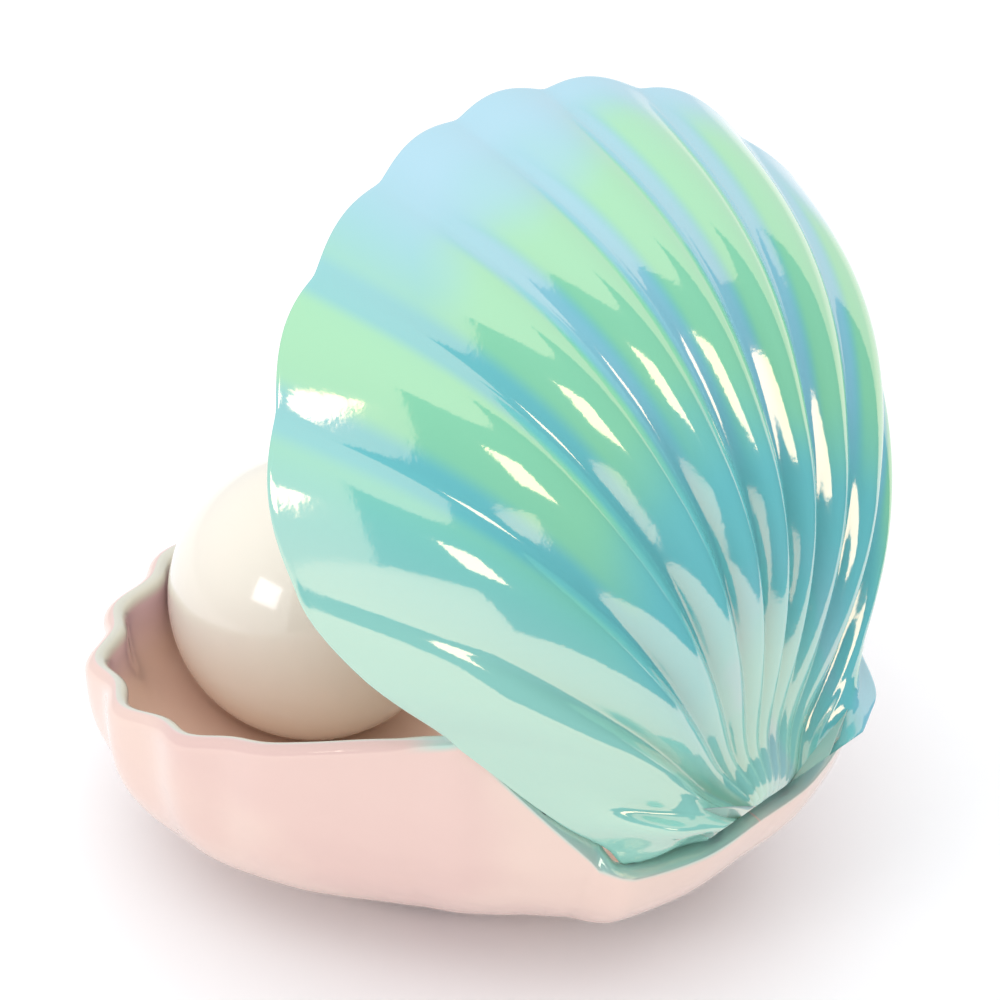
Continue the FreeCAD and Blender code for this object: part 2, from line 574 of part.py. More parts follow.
room_half = dim("room_half")
room_front, room_back = axis_y - dim("room_front"), axis_y + dim("room_back")
dimple = Part.makeSphere(dim("pearl_radius") + dim("dimple_gap"),
                         Vector(dim("pearl_side"), pearl_y, dim("pearl_height")))
back = Vector(0, 1, 0)
inlet = Vector(0, middle_y + dim("plinth_radius"), dim("spigot_height"))
tools = [
    mouth_cutter(),
    dimple.common(box((-80, -130, floor), (80, 40, 100))),
    post(dim("stem_hole_radius"), 0, stone_y, bottom, floor + 5),
    post(dim("pearl_screw_radius") + dim("loose_fit"), dim("pearl_side"), pearl_y, bottom,
         floor + 5),
    post(dim("screw_well_radius"), dim("pearl_side"), pearl_y, bottom - 1, pocket_top),
    Part.makeCylinder(dim("inlet_hole_radius"), 30, inlet - back * 25, back),
    Part.makeCylinder(dim("inlet_recess_radius"), 60, inlet, back),
    box((-room_half, room_front, land_top), (room_half, room_back,
                                              land_top + dim("room_depth")))]
for sign in (-1, 1):
    tools.append(post(dim("small_screw_radius") + dim("slip_fit"), sign * dim("bracket_screw_side"),
                      axis_y - dim("bracket_screw_front"), land_top - 6, land_top))
into_cheek = Vector(0, -math.sin(gape), -math.cos(gape))
pad_y = on_rim_plane(dim("pad_level"), dim("seam_gap"))
for word, sign in (("left", -1), ("right", 1)):
    spot = Vector(sign * dim("pad_side"), pad_y, dim("pad_level"))
    tools.append(Part.makeCylinder(dim("pad_radius") + dim("slip_fit"), dim("pad_socket"), spot,
                                   into_cheek))
    pad = Part.makeCylinder(dim("pad_radius"), dim("pad_height"),
                            spot + into_cheek * dim("pad_socket"), into_cheek * -1)
    keep("seat_pad_" + word, named("seat_pad_" + word, pad))
for tool in tools:
    lower = lower.cut(tool)
lower = max(lower.Solids, key=lambda solid: solid.Volume)
keep("lower_valve", named("lower_valve", lower))


# ---- upper valve ----------------------------------------------------------------------------
def below_rim_plane(height):
    """Space under the plane lying this far above the rim plane."""
    slab = box((-200, -280, -100 + height), (200, 120, height))
    slab.Placement = Placement(Vector(0, line_y, dim("rim_plane_height")),
                               Rotation(Vector(1, 0, 0), -dim("gape_angle")))
    return slab


RIM_SHARE = 1.0
INNER_RIB_SHARE = 0.5
INNER_SINK = 3.0
dome_outer = dome_solid(0.0, RIM_SHARE, 0.0).cut(below_rim_plane(dim("seam_gap")))
dome_outer = dome_outer.cut(box((-130, line_y - 130, -100), (130, line_y + 130, axis_z)))
dome_inner = dome_solid(dim("dome_wall"), INNER_RIB_SHARE, INNER_SINK)
dome_inner = dome_inner.cut(below_rim_plane(1 - INNER_SINK))
land_low = dim("upper_land_bottom")
land = box((-land_half, axis_y - dim("upper_land_front"), axis_z - 20),
           (land_half, axis_y + dim("upper_land_back"), land_low + dim("upper_land_height")))
upper = dome_outer.cut(dome_inner).fuse(land.common(dome_outer))
upper = upper.cut(box((-room_half, room_front, land_low - 20), (room_half, room_back, land_low)))
for sign in (-1, 1):
    upper = upper.cut(post(dim("small_screw_radius") + dim("slip_fit"),
                           sign * dim("bracket_screw_side"), axis_y - dim("bracket_screw_front"),
                           land_low - 1, land_low + dim("small_screw_length") - 1))
upper = max(upper.Solids, key=lambda solid: solid.Volume)
keep("upper_valve", named("upper_valve", upper))
doc.recompute()

for item in doc.Objects:
    if "Invalid" in item.State or "Error" in item.State:
        raise RuntimeError("bad state: " + item.Name)
for name, item in nodes.items():
    shape = item.Shape
    if shape.isNull() or not shape.isValid() or len(shape.Solids) != 1:
        raise RuntimeError("bad shape: " + name)
    shape.exportStep("parts/" + name + ".step")
print("nodes", len(nodes))
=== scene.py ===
import json
import math

import bmesh
import bpy
import numpy as np
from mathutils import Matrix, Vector

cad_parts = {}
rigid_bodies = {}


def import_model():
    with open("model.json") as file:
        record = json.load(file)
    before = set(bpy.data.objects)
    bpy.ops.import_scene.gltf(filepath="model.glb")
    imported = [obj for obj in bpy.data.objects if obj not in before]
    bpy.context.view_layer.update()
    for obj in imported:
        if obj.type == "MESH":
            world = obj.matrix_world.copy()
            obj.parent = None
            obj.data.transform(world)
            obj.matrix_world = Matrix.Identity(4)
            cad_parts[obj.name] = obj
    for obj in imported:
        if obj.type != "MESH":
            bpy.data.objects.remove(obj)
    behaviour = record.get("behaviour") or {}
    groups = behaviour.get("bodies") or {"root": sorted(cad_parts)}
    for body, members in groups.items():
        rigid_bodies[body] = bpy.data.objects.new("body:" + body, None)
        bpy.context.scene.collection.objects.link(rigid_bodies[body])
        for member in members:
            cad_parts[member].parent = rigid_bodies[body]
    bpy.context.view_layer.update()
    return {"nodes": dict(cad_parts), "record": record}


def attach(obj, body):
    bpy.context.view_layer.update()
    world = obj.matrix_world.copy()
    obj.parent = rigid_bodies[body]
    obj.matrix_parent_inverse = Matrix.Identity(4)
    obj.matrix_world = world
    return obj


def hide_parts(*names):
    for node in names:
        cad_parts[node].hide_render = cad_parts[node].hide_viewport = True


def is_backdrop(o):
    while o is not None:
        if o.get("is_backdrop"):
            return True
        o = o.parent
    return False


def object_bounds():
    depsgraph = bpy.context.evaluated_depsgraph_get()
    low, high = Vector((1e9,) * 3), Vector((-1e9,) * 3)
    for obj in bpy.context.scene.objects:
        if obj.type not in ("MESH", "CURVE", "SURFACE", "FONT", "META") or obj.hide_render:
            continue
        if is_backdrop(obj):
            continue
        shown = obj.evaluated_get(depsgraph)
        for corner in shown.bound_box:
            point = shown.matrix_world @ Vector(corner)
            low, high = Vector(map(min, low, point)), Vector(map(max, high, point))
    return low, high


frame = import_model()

NODES = frame["nodes"]
UPPER, LOWER = "upper_shell", "lower_shell"

# ---- shape of the shell, in millimetres and degrees ---------------------------------------------
# The same outlines as the CAD part, with deeper ribs, a fuller knob and a trimmed back edge.
HINGE_LINE = 74.86
RIM_HEIGHT = 54.0
GAPE = math.radians(60)
SEAM_HEIGHT, SEAM_GAP = 52.0, 0.3
LIFT_RELIEF = math.radians(11)
AXIS_Y = HINGE_LINE + 2.0
ROOM_HALF, ROOM_FRONT, ROOM_BACK = 23, AXIS_Y - 6.0, AXIS_Y + 3.8
LAND_HALF, LOWER_LAND_TOP, UPPER_LAND_BOTTOM = 24, 43, 60.0
MIDDLE_Y = HINGE_LINE - 88.0
PEARL = (11.7, HINGE_LINE - 128.5, 52.0)
PEARL_RADIUS, PEARL_FLAT, PEARL_GAP = 37.7, 19.0, 0.3
# upper valve
FAN_LENGTH, FAN_CURL, FAN_EDGE = 178.0, 0.12, 104
DOME_HEIGHT, DOME_WALL, CREST, UMBO_BACK = 53.5, 5.6, 0.49, 15.0
RIB_DEPTH, RIB_PITCH, RIB_SPREAD, RIB_VALLEY = 5.4, 9.3, 0.11, 0.12
INNER_RIB_SHARE, MARGIN_LOBE, EAR_LIFT, EAR_HOLLOW = 0.55, 2.2, 7.0, 3.5
KNOB_RISE, KNOB_BACK, KNOB_LENGTH, KNOB_WIDTH = 9.5, 6.0, 11.0, 17.0
BACK_REACH, BACK_SLOPE = 12.6, 0.8
# lower valve
BOWL_BOTTOM, BOWL_FLOOR, BOWL_WALL, BOWL_LOBE, BOWL_CEILING = 4.5, 18.0, 6.0, 1.5, 114.0
PLINTH, POCKET, POCKET_TOP = 49.5, 36.5, 14.0
INLET_HEIGHT, INLET_HOLE, INLET_RECESS = 10.2, 3.7, 7.0
STEM_Y, STEM_HOLE, SCREW_WELL = HINGE_LINE - 73, 4.1, 7.0
FAN_REACH = [(0, 1.0), (20, 0.966), (35, 0.877), (45, 0.775), (51, 0.640), (57, 0.480),
             (65, 0.373), (75, 0.297), (90, 0.227), (104, 0.213)]
FAN_HEIGHT = [(0, 1.0), (30, 0.80), (60, 0.47), (80, 0.53), (90, 0.28), (104, 0.0)]
BOWL_REACH = [(0, 86), (20, 87.5), (40, 92), (55, 94.6), (70, 94), (85, 91.3), (100, 88.5),
              (115, 86.5), (125, 88.5), (134, 93.5), (145, 96), (152, 98.5), (158, 104.5),
              (168, 104.5), (180, 103)]
BOWL_TOP = [(0, 51), (50, 57), (79, 64), (102, 75), (122, 85), (134, 92), (144, 78),
            (152, 62), (160, 55), (180, 55)]
BOWL_FULLNESS = [(0, 3.0), (90, 3.2), (134, 3.0), (160, 2.3), (180, 2.3)]
MOUTH_RIM = [(-8, 100), (10, 97), (22, 92), (45, 83), (69, 75), (106, 64.5), (149, 55), (172, 51),
             (200, 48)]


def blend(x):
    """Smooth step from 0 to 1."""
    x = np.clip(x, 0.0, 1.0)
    return x * x * (3 - 2 * x)


def curve(knots, x):
    """Smooth monotone curve through the knots, for an array of places."""
    x = np.asarray(x, float)
    kx = np.array([k[0] for k in knots], float)
    ky = np.array([k[1] for k in knots], float)
    step = np.diff(ky) / np.diff(kx)
    slope = np.zeros(len(kx))
    for j in range(1, len(kx) - 1):
        if step[j - 1] * step[j] > 0:
            slope[j] = 2 * step[j - 1] * step[j] / (step[j - 1] + step[j])
    i = np.clip(np.searchsorted(kx, x, side="right") - 1, 0, len(kx) - 2)
    width = kx[i + 1] - kx[i]
    f = np.clip((x - kx[i]) / width, 0, 1)
    return ((1 + 2 * f) * (1 - f) ** 2 * ky[i] + f * (1 - f) ** 2 * width * slope[i]
            + f * f * (3 - 2 * f) * ky[i + 1] + f * f * (f - 1) * width * slope[i + 1])


def rib_height(number):
    """0 in a groove, 1 on a rib, fading beside the last rib."""
    number = np.abs(number)
    ribs = np.sqrt(np.sin(np.pi * number) ** 2 + RIB_VALLEY ** 2) - RIB_VALLEY
    ribs = ribs / (math.sqrt(1 + RIB_VALLEY ** 2) - RIB_VALLEY)
    return np.where(number <= 4.5, ribs, 1 - blend((number - 4.5) / 1.3))


def dome_profile(along):
    """Share of the dome's height along a line from the umbo to the margin."""
    f = along / CREST
    rising = 1.84 * (f ** 3 - 2 * f * f + f) + 3 * f * f - 2 * f ** 3
    g = np.clip((along - CREST) / (1 - CREST), 0, 1)
    return np.where(along < CREST, rising, (1 - g ** 2.5) ** 1.1)


def dome_plane(angle, number, along, rib_share):
    """Out, side and rise over the rim plane of the dome's skin."""
    off = np.abs(angle)
    rib = rib_height(number)
    lobe = MARGIN_LOBE * (rib - 0.5) * along ** 3 * (1 - blend((np.abs(number) - 4.2) / 1.2))
    reach = FAN_LENGTH * curve(FAN_REACH, off) + lobe
    fan = np.radians(angle * (1 + FAN_CURL * (1 - along)))
    rise = DOME_HEIGHT * curve(FAN_HEIGHT, off) * dome_profile(along)
    swell = np.minimum(1, along / 0.3) * (1 - along ** 8) * np.minimum(1, reach * along / 70 + 0.15)
    rise = rise + RIB_DEPTH * rib_share * swell * (rib - 0.6) * (1 - blend((off - 62) / 20))
    ear = np.exp(-((off - 86) / 13.0) ** 2 - ((along - 0.85) / 0.15) ** 2)
    rise = rise + EAR_LIFT * ear * blend((FAN_EDGE - off) / 10.0)
    rise = rise - EAR_HOLLOW * np.exp(-((off - 70) / 8.0) ** 2 - ((along - 0.72) / 0.16) ** 2)
    rise = np.where((along >= 1) | (off >= FAN_EDGE), 0, rise)
    out = reach * (along + 0.012) * np.cos(fan) - UMBO_BACK * (1 - along) ** 2
    side = reach * (along + 0.012) * np.sin(fan)
    rise = rise + KNOB_RISE * np.exp(-((out + KNOB_BACK) / KNOB_LENGTH) ** 2
                                     - (side / KNOB_WIDTH) ** 4)
    return np.stack([side, out, np.maximum(rise, 0)], axis=-1)


def plane_to_frame(p):
    """Turns points over the tilted rim plane into the shared frame."""
    side, out, rise = p[..., 0], p[..., 1], p[..., 2]
    return np.stack([side,
                     HINGE_LINE - out * math.cos(GAPE) + rise * math.sin(GAPE),
                     RIM_HEIGHT + out * math.sin(GAPE) + rise * math.cos(GAPE)], axis=-1)


def grid_normals(p):
    """Unit normals of a grid of points, pointing away from the rim plane."""
    across = np.gradient(p, axis=0)
    along = np.gradient(p, axis=1)
    n = np.cross(across, along)
    length = np.linalg.norm(n, axis=-1, keepdims=True)
    n = n / np.maximum(length, 1e-9)
    return n * np.where(n[..., 2:3] < 0, -1, 1)


def mesh_object(name, verts, faces, attributes=()):
    """Mesh object from millimetres, smooth shaded, with float attributes on its points."""
    mesh = bpy.data.meshes.new(name)
    mesh.from_pydata((np.asarray(verts) / 1000).tolist(), [], faces)
    mesh.polygons.foreach_set("use_smooth", [True] * len(mesh.polygons))
    for key, values in dict(attributes).items():
        layer = mesh.attributes.new(key, "FLOAT", "POINT")
        layer.data.foreach_set("value", np.asarray(values, np.float32))
    mesh.update()
    obj = bpy.data.objects.new(name, mesh)
    bpy.context.scene.collection.objects.link(obj)
    return obj


def grid_faces(rows, columns, start=0, closed=False):
    """Quads of a grid of points stored row by row."""
    faces = []
    for i in range(rows if closed else rows - 1):
        j = (i + 1) % rows
        for k in range(columns - 1):
            faces.append((start + i * columns + k, start + j * columns + k,
                          start + j * columns + k + 1, start + i * columns + k + 1))
    return faces


def bezier(a, b, c, steps):
    """Points strictly inside a curve from a to c drawn toward b."""
    t = (np.arange(1, steps) / steps)[:, None, None]
    return (1 - t) ** 2 * a + 2 * t * (1 - t) * b + t * t * c


def cut(obj, cutter):
    """Takes the cutter out of the object and keeps the point attributes."""
    modifier = obj.modifiers.new("cut", "BOOLEAN")
    modifier.object = cutter
    modifier.operation = "DIFFERENCE"
    modifier.solver = "EXACT"
    graph = bpy.context.evaluated_depsgraph_get()
    made = bpy.data.meshes.new_from_object(obj.evaluated_get(graph))
    obj.modifiers.clear()
    old = obj.data
    obj.data = made
    bpy.data.meshes.remove(old)
    bpy.data.objects.remove(cutter)


def box_object(name, low, high, bevel=0.0):
    x0, y0, z0 = low
    x1, y1, z1 = high
    verts = [(x, y, z) for x in (x0, x1) for y in (y0, y1) for z in (z0, z1)]
    faces = [(0, 1, 3, 2), (4, 6, 7, 5), (0, 4, 5, 1), (2, 3, 7, 6), (0, 2, 6, 4), (1, 5, 7, 3)]
    obj = mesh_object(name, verts, faces)
    if bevel:
        modifier = obj.modifiers.new("bevel", "BEVEL")
        modifier.width = bevel / 1000
        modifier.segments = 4
    return obj


def rod_object(name, start, end, radius, sides=64):
    """Closed cylinder between two points."""
    start, end = Vector(start), Vector(end)
    turn = (end - start).to_track_quat("Z", "Y")
    verts = []
    for base in (start, end):
        for i in range(sides):
            a = 2 * math.pi * i / sides
            verts.append(base + turn @ Vector((radius * math.cos(a), radius * math.sin(a), 0)))
    faces = [(i, (i + 1) % sides, sides + (i + 1) % sides, sides + i) for i in range(sides)]
    faces += [tuple(reversed(range(sides))), tuple(range(sides, 2 * sides))]
    return mesh_object(name, [tuple(v) for v in verts], faces)


# ---- upper valve -----------------------------------------------------------------------------
def build_upper():
    """Closed shell: outer skin, rounded lip and inner skin, clear of the seam and hinge room."""
    numbers = np.linspace(-5.5, 5.5, 331)
    rib_angles = RIB_PITCH * numbers + RIB_SPREAD * numbers ** 3
    outer = np.concatenate([np.linspace(rib_angles[-1], 100, 28)[1:],
                            np.linspace(100, FAN_EDGE, 7)[1:]])
    angles = np.concatenate([-outer[::-1], rib_angles, outer])
    labels = np.concatenate([np.full(len(outer), -6.0), numbers, np.full(len(outer), 6.0)])
    reach = FAN_LENGTH * curve(FAN_REACH, np.abs(angles))
    free = blend((reach * np.cos(np.radians(angles)) - 42) / 12)
    round_off = 0.5 + 2.3 * free
    shares = np.concatenate([np.linspace(0, 0.06, 7)[:-1], np.linspace(0.06, 0.86, 90)[:-1],
                             np.linspace(0.86, 1, 30)])
    stop = 1 - round_off / reach
    k = shares[None, :] * stop[:, None]
    a, n = angles[:, None] + 0 * k, labels[:, None] + 0 * k
    skin = dome_plane(a, n, k, 1.0)
    skin[..., 2] = np.maximum(skin[..., 2], SEAM_GAP)
    corner = dome_plane(angles, labels, np.ones(len(angles)), 1.0)
    corner[:, 2] = SEAM_GAP
    under = dome_plane(a, n, k, INNER_RIB_SHARE)
    normal = grid_normals(under)
    hollow = blend((k - 0.06) / 0.16)[..., None]
    inner = under - DOME_WALL * normal * hollow
    inner[..., 2] = np.maximum(inner[..., 2] - 0.2 - 40 * (1 - hollow[..., 0]), SEAM_GAP)
    flat = np.linalg.norm(corner[:, :2], axis=-1, keepdims=True)
    inner_corner = corner.copy()
    inner_corner[:, :2] = corner[:, :2] * np.clip((flat - 6.2) / np.maximum(flat, 1e-6), 0.2, 1)
    # The inner skin is drawn over to end at the inner corner.
    pull = blend((shares - 0.72) / 0.28)[None, :, None]
    shift = inner_corner[:, None, :2] - inner[:, -1:, :2]
    inner[..., :2] += shift * pull
    inner[:, -1, 2] = np.maximum(inner[:, -1, 2], SEAM_GAP)
    middle = (corner + inner_corner) / 2
    first = bezier(skin[:, -1], corner, middle, 6)
    last = bezier(middle, inner_corner, inner[:, -1], 6)
    rows = np.concatenate([skin, first.transpose(1, 0, 2), middle[:, None], last.transpose(1, 0, 2),
                           inner[:, ::-1]], axis=1)
    count, columns = rows.shape[:2]
    points = plane_to_frame(rows).reshape(-1, 3)
    faces = grid_faces(count, columns)
    for i in (0, count - 1):
        base = i * columns
        for j in range(columns // 2):
            quad = (base + j, base + j + 1, base + columns - 2 - j, base + columns - 1 - j)
            if len(set(quad)) == 4:
                faces.append(quad if i == 0 else tuple(reversed(quad)))
    for i in range(count - 1):
        faces.append((i * columns, i * columns + columns - 1, (i + 1) * columns + columns - 1,
                      (i + 1) * columns))
    inside = np.zeros((count, columns))
    inside[:, len(shares) + 5:] = 1
    steps = np.concatenate([shares, np.ones(columns - 2 * len(shares)), shares[::-1]])
    attributes = {"inside": inside.ravel(), "along": np.tile(steps, count),
                  "rib": np.repeat(labels, columns), "crest": np.repeat(rib_height(labels), columns)}
    points[:, 2] = np.maximum(points[:, 2], SEAM_HEIGHT)
    back_limit = HINGE_LINE + BACK_REACH + BACK_SLOPE * (points[:, 2] - SEAM_HEIGHT)
    points[:, 1] = np.minimum(points[:, 1], back_limit)
    in_room = ((np.abs(points[:, 0]) < ROOM_HALF) & (points[:, 1] > ROOM_FRONT)
               & (points[:, 1] < ROOM_BACK))
    points[in_room, 2] = np.maximum(points[in_room, 2], UPPER_LAND_BOTTOM)
    obj = mesh_object("upper_valve_shell", points, faces, attributes)
    clean(obj)
    return obj


def clean(obj):
    """Joins doubled points and turns all faces outward."""
    bm = bmesh.new()
    bm.from_mesh(obj.data)
    bmesh.ops.remove_doubles(bm, verts=bm.verts, dist=2e-6)
    bmesh.ops.recalc_face_normals(bm, faces=bm.faces)
    bm.to_mesh(obj.data)
    bm.free()


# ---- lower valve -----------------------------------------------------------------------------
def wall_points(angle, inset, floor, samples):
    """Line up the bowl's wall at one angle, from its bottom to well over the rim."""
    off = abs(angle)
    power = 2.0 / curve(BOWL_FULLNESS, off)
    top = curve(BOWL_TOP, off)
    drop = np.radians(np.linspace(86, 0, samples))
    level = np.cos(drop)
    lobe = BOWL_LOBE * math.cos(2 * math.pi * angle / 17.0) * (1 - blend((off - 80) / 30.0))
    reach = (curve(BOWL_REACH, off) - inset + lobe * level ** 8) * level ** power
    height = top - (top - floor) * np.sin(drop) ** power
    above = np.linspace(top + 0.5, BOWL_CEILING, 80)
    reach = np.concatenate([reach, np.full(len(above), reach[-1])])
    height = np.concatenate([height, above])
    turn = math.radians(angle)
    return np.stack([reach * math.sin(turn), MIDDLE_Y - reach * math.cos(turn), height], axis=-1)


def rim_top(y):
    """Height of the lower valve's rim at a distance from the hinge."""
    mouth = curve(MOUTH_RIM, HINGE_LINE - y)
    slope = RIM_HEIGHT + (HINGE_LINE - y - SEAM_GAP / math.sin(GAPE)) * math.tan(GAPE)
    seam = SEAM_HEIGHT - SEAM_GAP - np.maximum(y - AXIS_Y, 0) * math.tan(LIFT_RELIEF)
    return np.minimum(mouth, np.maximum(slope, seam))


def upto_rim(line, short, count):
    """The wall line from its start to a little short of the rim, and its point on the rim."""
    over = line[:, 2] - rim_top(line[:, 1])
    i = int(np.argmax(over > 0))
    f = over[i - 1] / (over[i - 1] - over[i])
    crossing = line[i - 1] + f * (line[i] - line[i - 1])
    path = np.concatenate([line[:i], crossing[None]])
    gone = np.concatenate([[0], np.cumsum(np.linalg.norm(np.diff(path, axis=0), axis=1))])
    places = np.linspace(0, gone[-1] - short, count)
    return np.stack([np.interp(places, gone, path[:, c]) for c in range(3)], axis=-1), crossing


def build_lower():
    """Closed shell: base pocket, plinth, outer wall, rounded lip, inner wall and floor."""
    angles = np.linspace(-180, 180, 721)[:-1]
    rows, inside, depth = [], [], []
    for angle in angles:
        off = abs(angle)
        outer_line = wall_points(angle, 0.0, BOWL_BOTTOM, 140)
        inner_line = wall_points(angle, BOWL_WALL, BOWL_FLOOR, 140)
        distance = np.hypot(outer_line[:, 0], outer_line[:, 1] - MIDDLE_Y)
        begin = int(np.argmax(distance > PLINTH))
        f = (PLINTH - distance[begin - 1]) / (distance[begin] - distance[begin - 1])
        joint = outer_line[begin - 1] + f * (outer_line[begin] - outer_line[begin - 1])
        outer_line = np.concatenate([joint[None], outer_line[begin:]])
        free = 1 - blend((off - 118) / 12)
        soft = 0.5 + 2.6 * free
        outer, outer_rim = upto_rim(outer_line, soft, 90)
        inner, inner_rim = upto_rim(inner_line, soft, 90)
        turn = math.radians(angle)
        aim = np.array([math.sin(turn), -math.cos(turn), 0.0])
        centre = np.array([0, MIDDLE_Y, 0])
        up = np.array([0, 0, 1.0])
        crown = (outer_rim + inner_rim) / 2 + up * 0.8 * free
        outline = [(0, POCKET_TOP), (20, POCKET_TOP), (POCKET - 0.4, POCKET_TOP),
                   (POCKET, POCKET_TOP - 0.4), (POCKET, BOWL_BOTTOM + 0.5),
                   (POCKET + 0.5, BOWL_BOTTOM), (PLINTH - 0.8, BOWL_BOTTOM),
                   (PLINTH, BOWL_BOTTOM + 0.8)]
        base = [centre + aim * reach + up * height for reach, height in outline]
        first = bezier(outer[-1][None], outer_rim[None], crown[None], 6)[:, 0]
        last = bezier(crown[None], inner_rim[None], inner[-1][None], 6)[:, 0]
        row = np.concatenate([np.array(base), outer, first, crown[None], last, inner[::-1],
                              (centre + up * BOWL_FLOOR)[None]])
        rows.append(row)
        before = len(base) + len(outer) + len(first)
        inside.append(np.concatenate([np.zeros(before), [0.5], np.ones(len(row) - before - 1)]))
        depth.append(rim_top(row[:, 1]) - row[:, 2])
    rows = np.array(rows)
    count, columns = rows.shape[:2]
    faces = grid_faces(count, columns, closed=True)
    angle_label = np.repeat(angles, columns)
    attributes = {"inside": np.array(inside).ravel(), "depth": np.array(depth).ravel(),
                  "turn": angle_label}
    obj = mesh_object("lower_valve_shell", rows.reshape(-1, 3), faces, attributes)
    clean(obj)
    cut(obj, box_object("cutter", (-ROOM_HALF, ROOM_FRONT, LOWER_LAND_TOP),
                        (ROOM_HALF, ROOM_BACK, 75)))
    for start, end, radius in (
            ((0, MIDDLE_Y + PLINTH + 0.1, INLET_HEIGHT), (0, MIDDLE_Y + 130, INLET_HEIGHT),
             INLET_RECESS),
            ((0, MIDDLE_Y + 33, INLET_HEIGHT), (0, MIDDLE_Y + 56, INLET_HEIGHT), INLET_HOLE),
            ((0, STEM_Y, 10), (0, STEM_Y, 24), STEM_HOLE),
            ((PEARL[0], PEARL[1], 1), (PEARL[0], PEARL[1], 14), SCREW_WELL)):
        cut(obj, rod_object("cutter", start, end, radius))
    cut(obj, ball_object("cutter", PEARL, PEARL_RADIUS + PEARL_GAP, BOWL_FLOOR))
    return obj


def ball_object(name, centre, radius, flat_height, rows=72, columns=144):
    """Ball with a flat underside at the given height."""
    low = math.asin((flat_height - centre[2]) / radius)
    lats = np.linspace(low, math.pi / 2, rows)
    points = []
    for lat in lats[:-1]:
        for j in range(columns):
            a = 2 * math.pi * j / columns
            points.append((centre[0] + radius * math.cos(lat) * math.cos(a),
                           centre[1] + radius * math.cos(lat) * math.sin(a),
                           centre[2] + radius * math.sin(lat)))
    faces = []
    for i in range(rows - 2):
        for j in range(columns):
            k = (j + 1) % columns
            faces.append((i * columns + j, i * columns + k, (i + 1) * columns + k,
                          (i + 1) * columns + j))
    points.append((centre[0], centre[1], centre[2] + radius))
    top = len(points) - 1
    last = (rows - 2) * columns
    faces += [(last + j, last + (j + 1) % columns, top) for j in range(columns)]
    faces.append(tuple(reversed(range(columns))))
    return mesh_object(name, points, faces)


upper = build_upper()
lower = build_lower()
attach(upper, UPPER)
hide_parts("upper_valve")
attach(lower, LOWER)
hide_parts("lower_valve")
for block_name, body, low, high in (
        ("upper_hinge_land", UPPER, (-LAND_HALF, AXIS_Y - 5.2, UPPER_LAND_BOTTOM),
         (LAND_HALF, AXIS_Y + 5.5, UPPER_LAND_BOTTOM + 10)),
        ("lower_hinge_land", LOWER, (-LAND_HALF, AXIS_Y - 11, LOWER_LAND_TOP - 9),
         (LAND_HALF, AXIS_Y + 6, LOWER_LAND_TOP))):
    block = box_object(block_name, low, high, 1.0)
    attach(block, body)
    block.data.materials.append(bpy.data.materials.new(block_name))
pearl = ball_object("pearl_ball", PEARL, PEARL_RADIUS, PEARL_FLAT, 120, 240)
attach(pearl, LOWER)
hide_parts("pearl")


# ---- materials --------------------------------------------------------------------------------
class Shader:
    """Small helper round one Principled material."""

    def __init__(self, name):
        self.material = bpy.data.materials.new(name)
        self.material.use_nodes = True
        self.tree = self.material.node_tree
        self.bsdf = self.tree.nodes["Principled BSDF"]

    def node(self, kind, **settings):
        made = self.tree.nodes.new(kind)
        for key, value in settings.items():
            setattr(made, key, value)
        return made

    def link(self, source, target):
        self.tree.links.new(source, target)

    def place(self):
        return self.node("ShaderNodeTexCoord").outputs["Object"]

    def attribute(self, name):
        return self.node("ShaderNodeAttribute", attribute_name=name).outputs["Fac"]

    def number(self, operation, a, b=0.0, clamp=False):
        made = self.node("ShaderNodeMath", operation=operation, use_clamp=clamp)
        for socket, value in zip(made.inputs, (a, b)):
            if hasattr(value, "links"):
                self.link(value, socket)
            else:
                socket.default_value = value
        return made.outputs[0]

    def noise(self, scale, detail=3.0, roughness=0.55, stretch=(1, 1, 1)):
        mapping = self.node("ShaderNodeMapping")
        mapping.inputs["Scale"].default_value = stretch
        self.link(self.place(), mapping.inputs["Vector"])
        made = self.node("ShaderNodeTexNoise")
        made.inputs["Scale"].default_value = scale
        made.inputs["Detail"].default_value = detail
        made.inputs["Roughness"].default_value = roughness
        self.link(mapping.outputs[0], made.inputs["Vector"])
        return made.outputs["Fac"]

    def span(self, value, low, high, to_low=0.0, to_high=1.0):
        made = self.node("ShaderNodeMapRange", interpolation_type="SMOOTHSTEP")
        self.link(value, made.inputs["Value"])
        made.inputs["From Min"].default_value = low
        made.inputs["From Max"].default_value = high
        made.inputs["To Min"].default_value = to_low
        made.inputs["To Max"].default_value = to_high
        return made.outputs["Result"]

    def mix(self, share, a, b):
        made = self.node("ShaderNodeMix", data_type="RGBA")
        self.link(share, made.inputs["Factor"])
        for index, value in ((6, a), (7, b)):
            socket = made.inputs[index]
            if hasattr(value, "links"):
                self.link(value, socket)
            else:
                socket.default_value = (*value, 1)
        return made.outputs[2]

    def bump(self, height, strength, distance, before=None):
        made = self.node("ShaderNodeBump")
        made.inputs["Strength"].default_value = strength
        made.inputs["Distance"].default_value = distance
        self.link(height, made.inputs["Height"])
        if before:
            self.link(before, made.inputs["Normal"])
        return made.outputs[0]

    def put(self, **values):
        for key, value in values.items():
            socket = self.bsdf.inputs[key.replace("_", " ")]
            if hasattr(value, "links"):
                self.link(value, socket)
            elif isinstance(value, tuple):
                socket.default_value = (*value, 1)
            else:
                socket.default_value = value


def linear(r, g, b):
    """Linear colour from display values 0 to 255."""
    return tuple((c / 255 / 12.92) if c <= 10 else ((c / 255 + 0.055) / 1.055) ** 2.4
                 for c in (r, g, b))


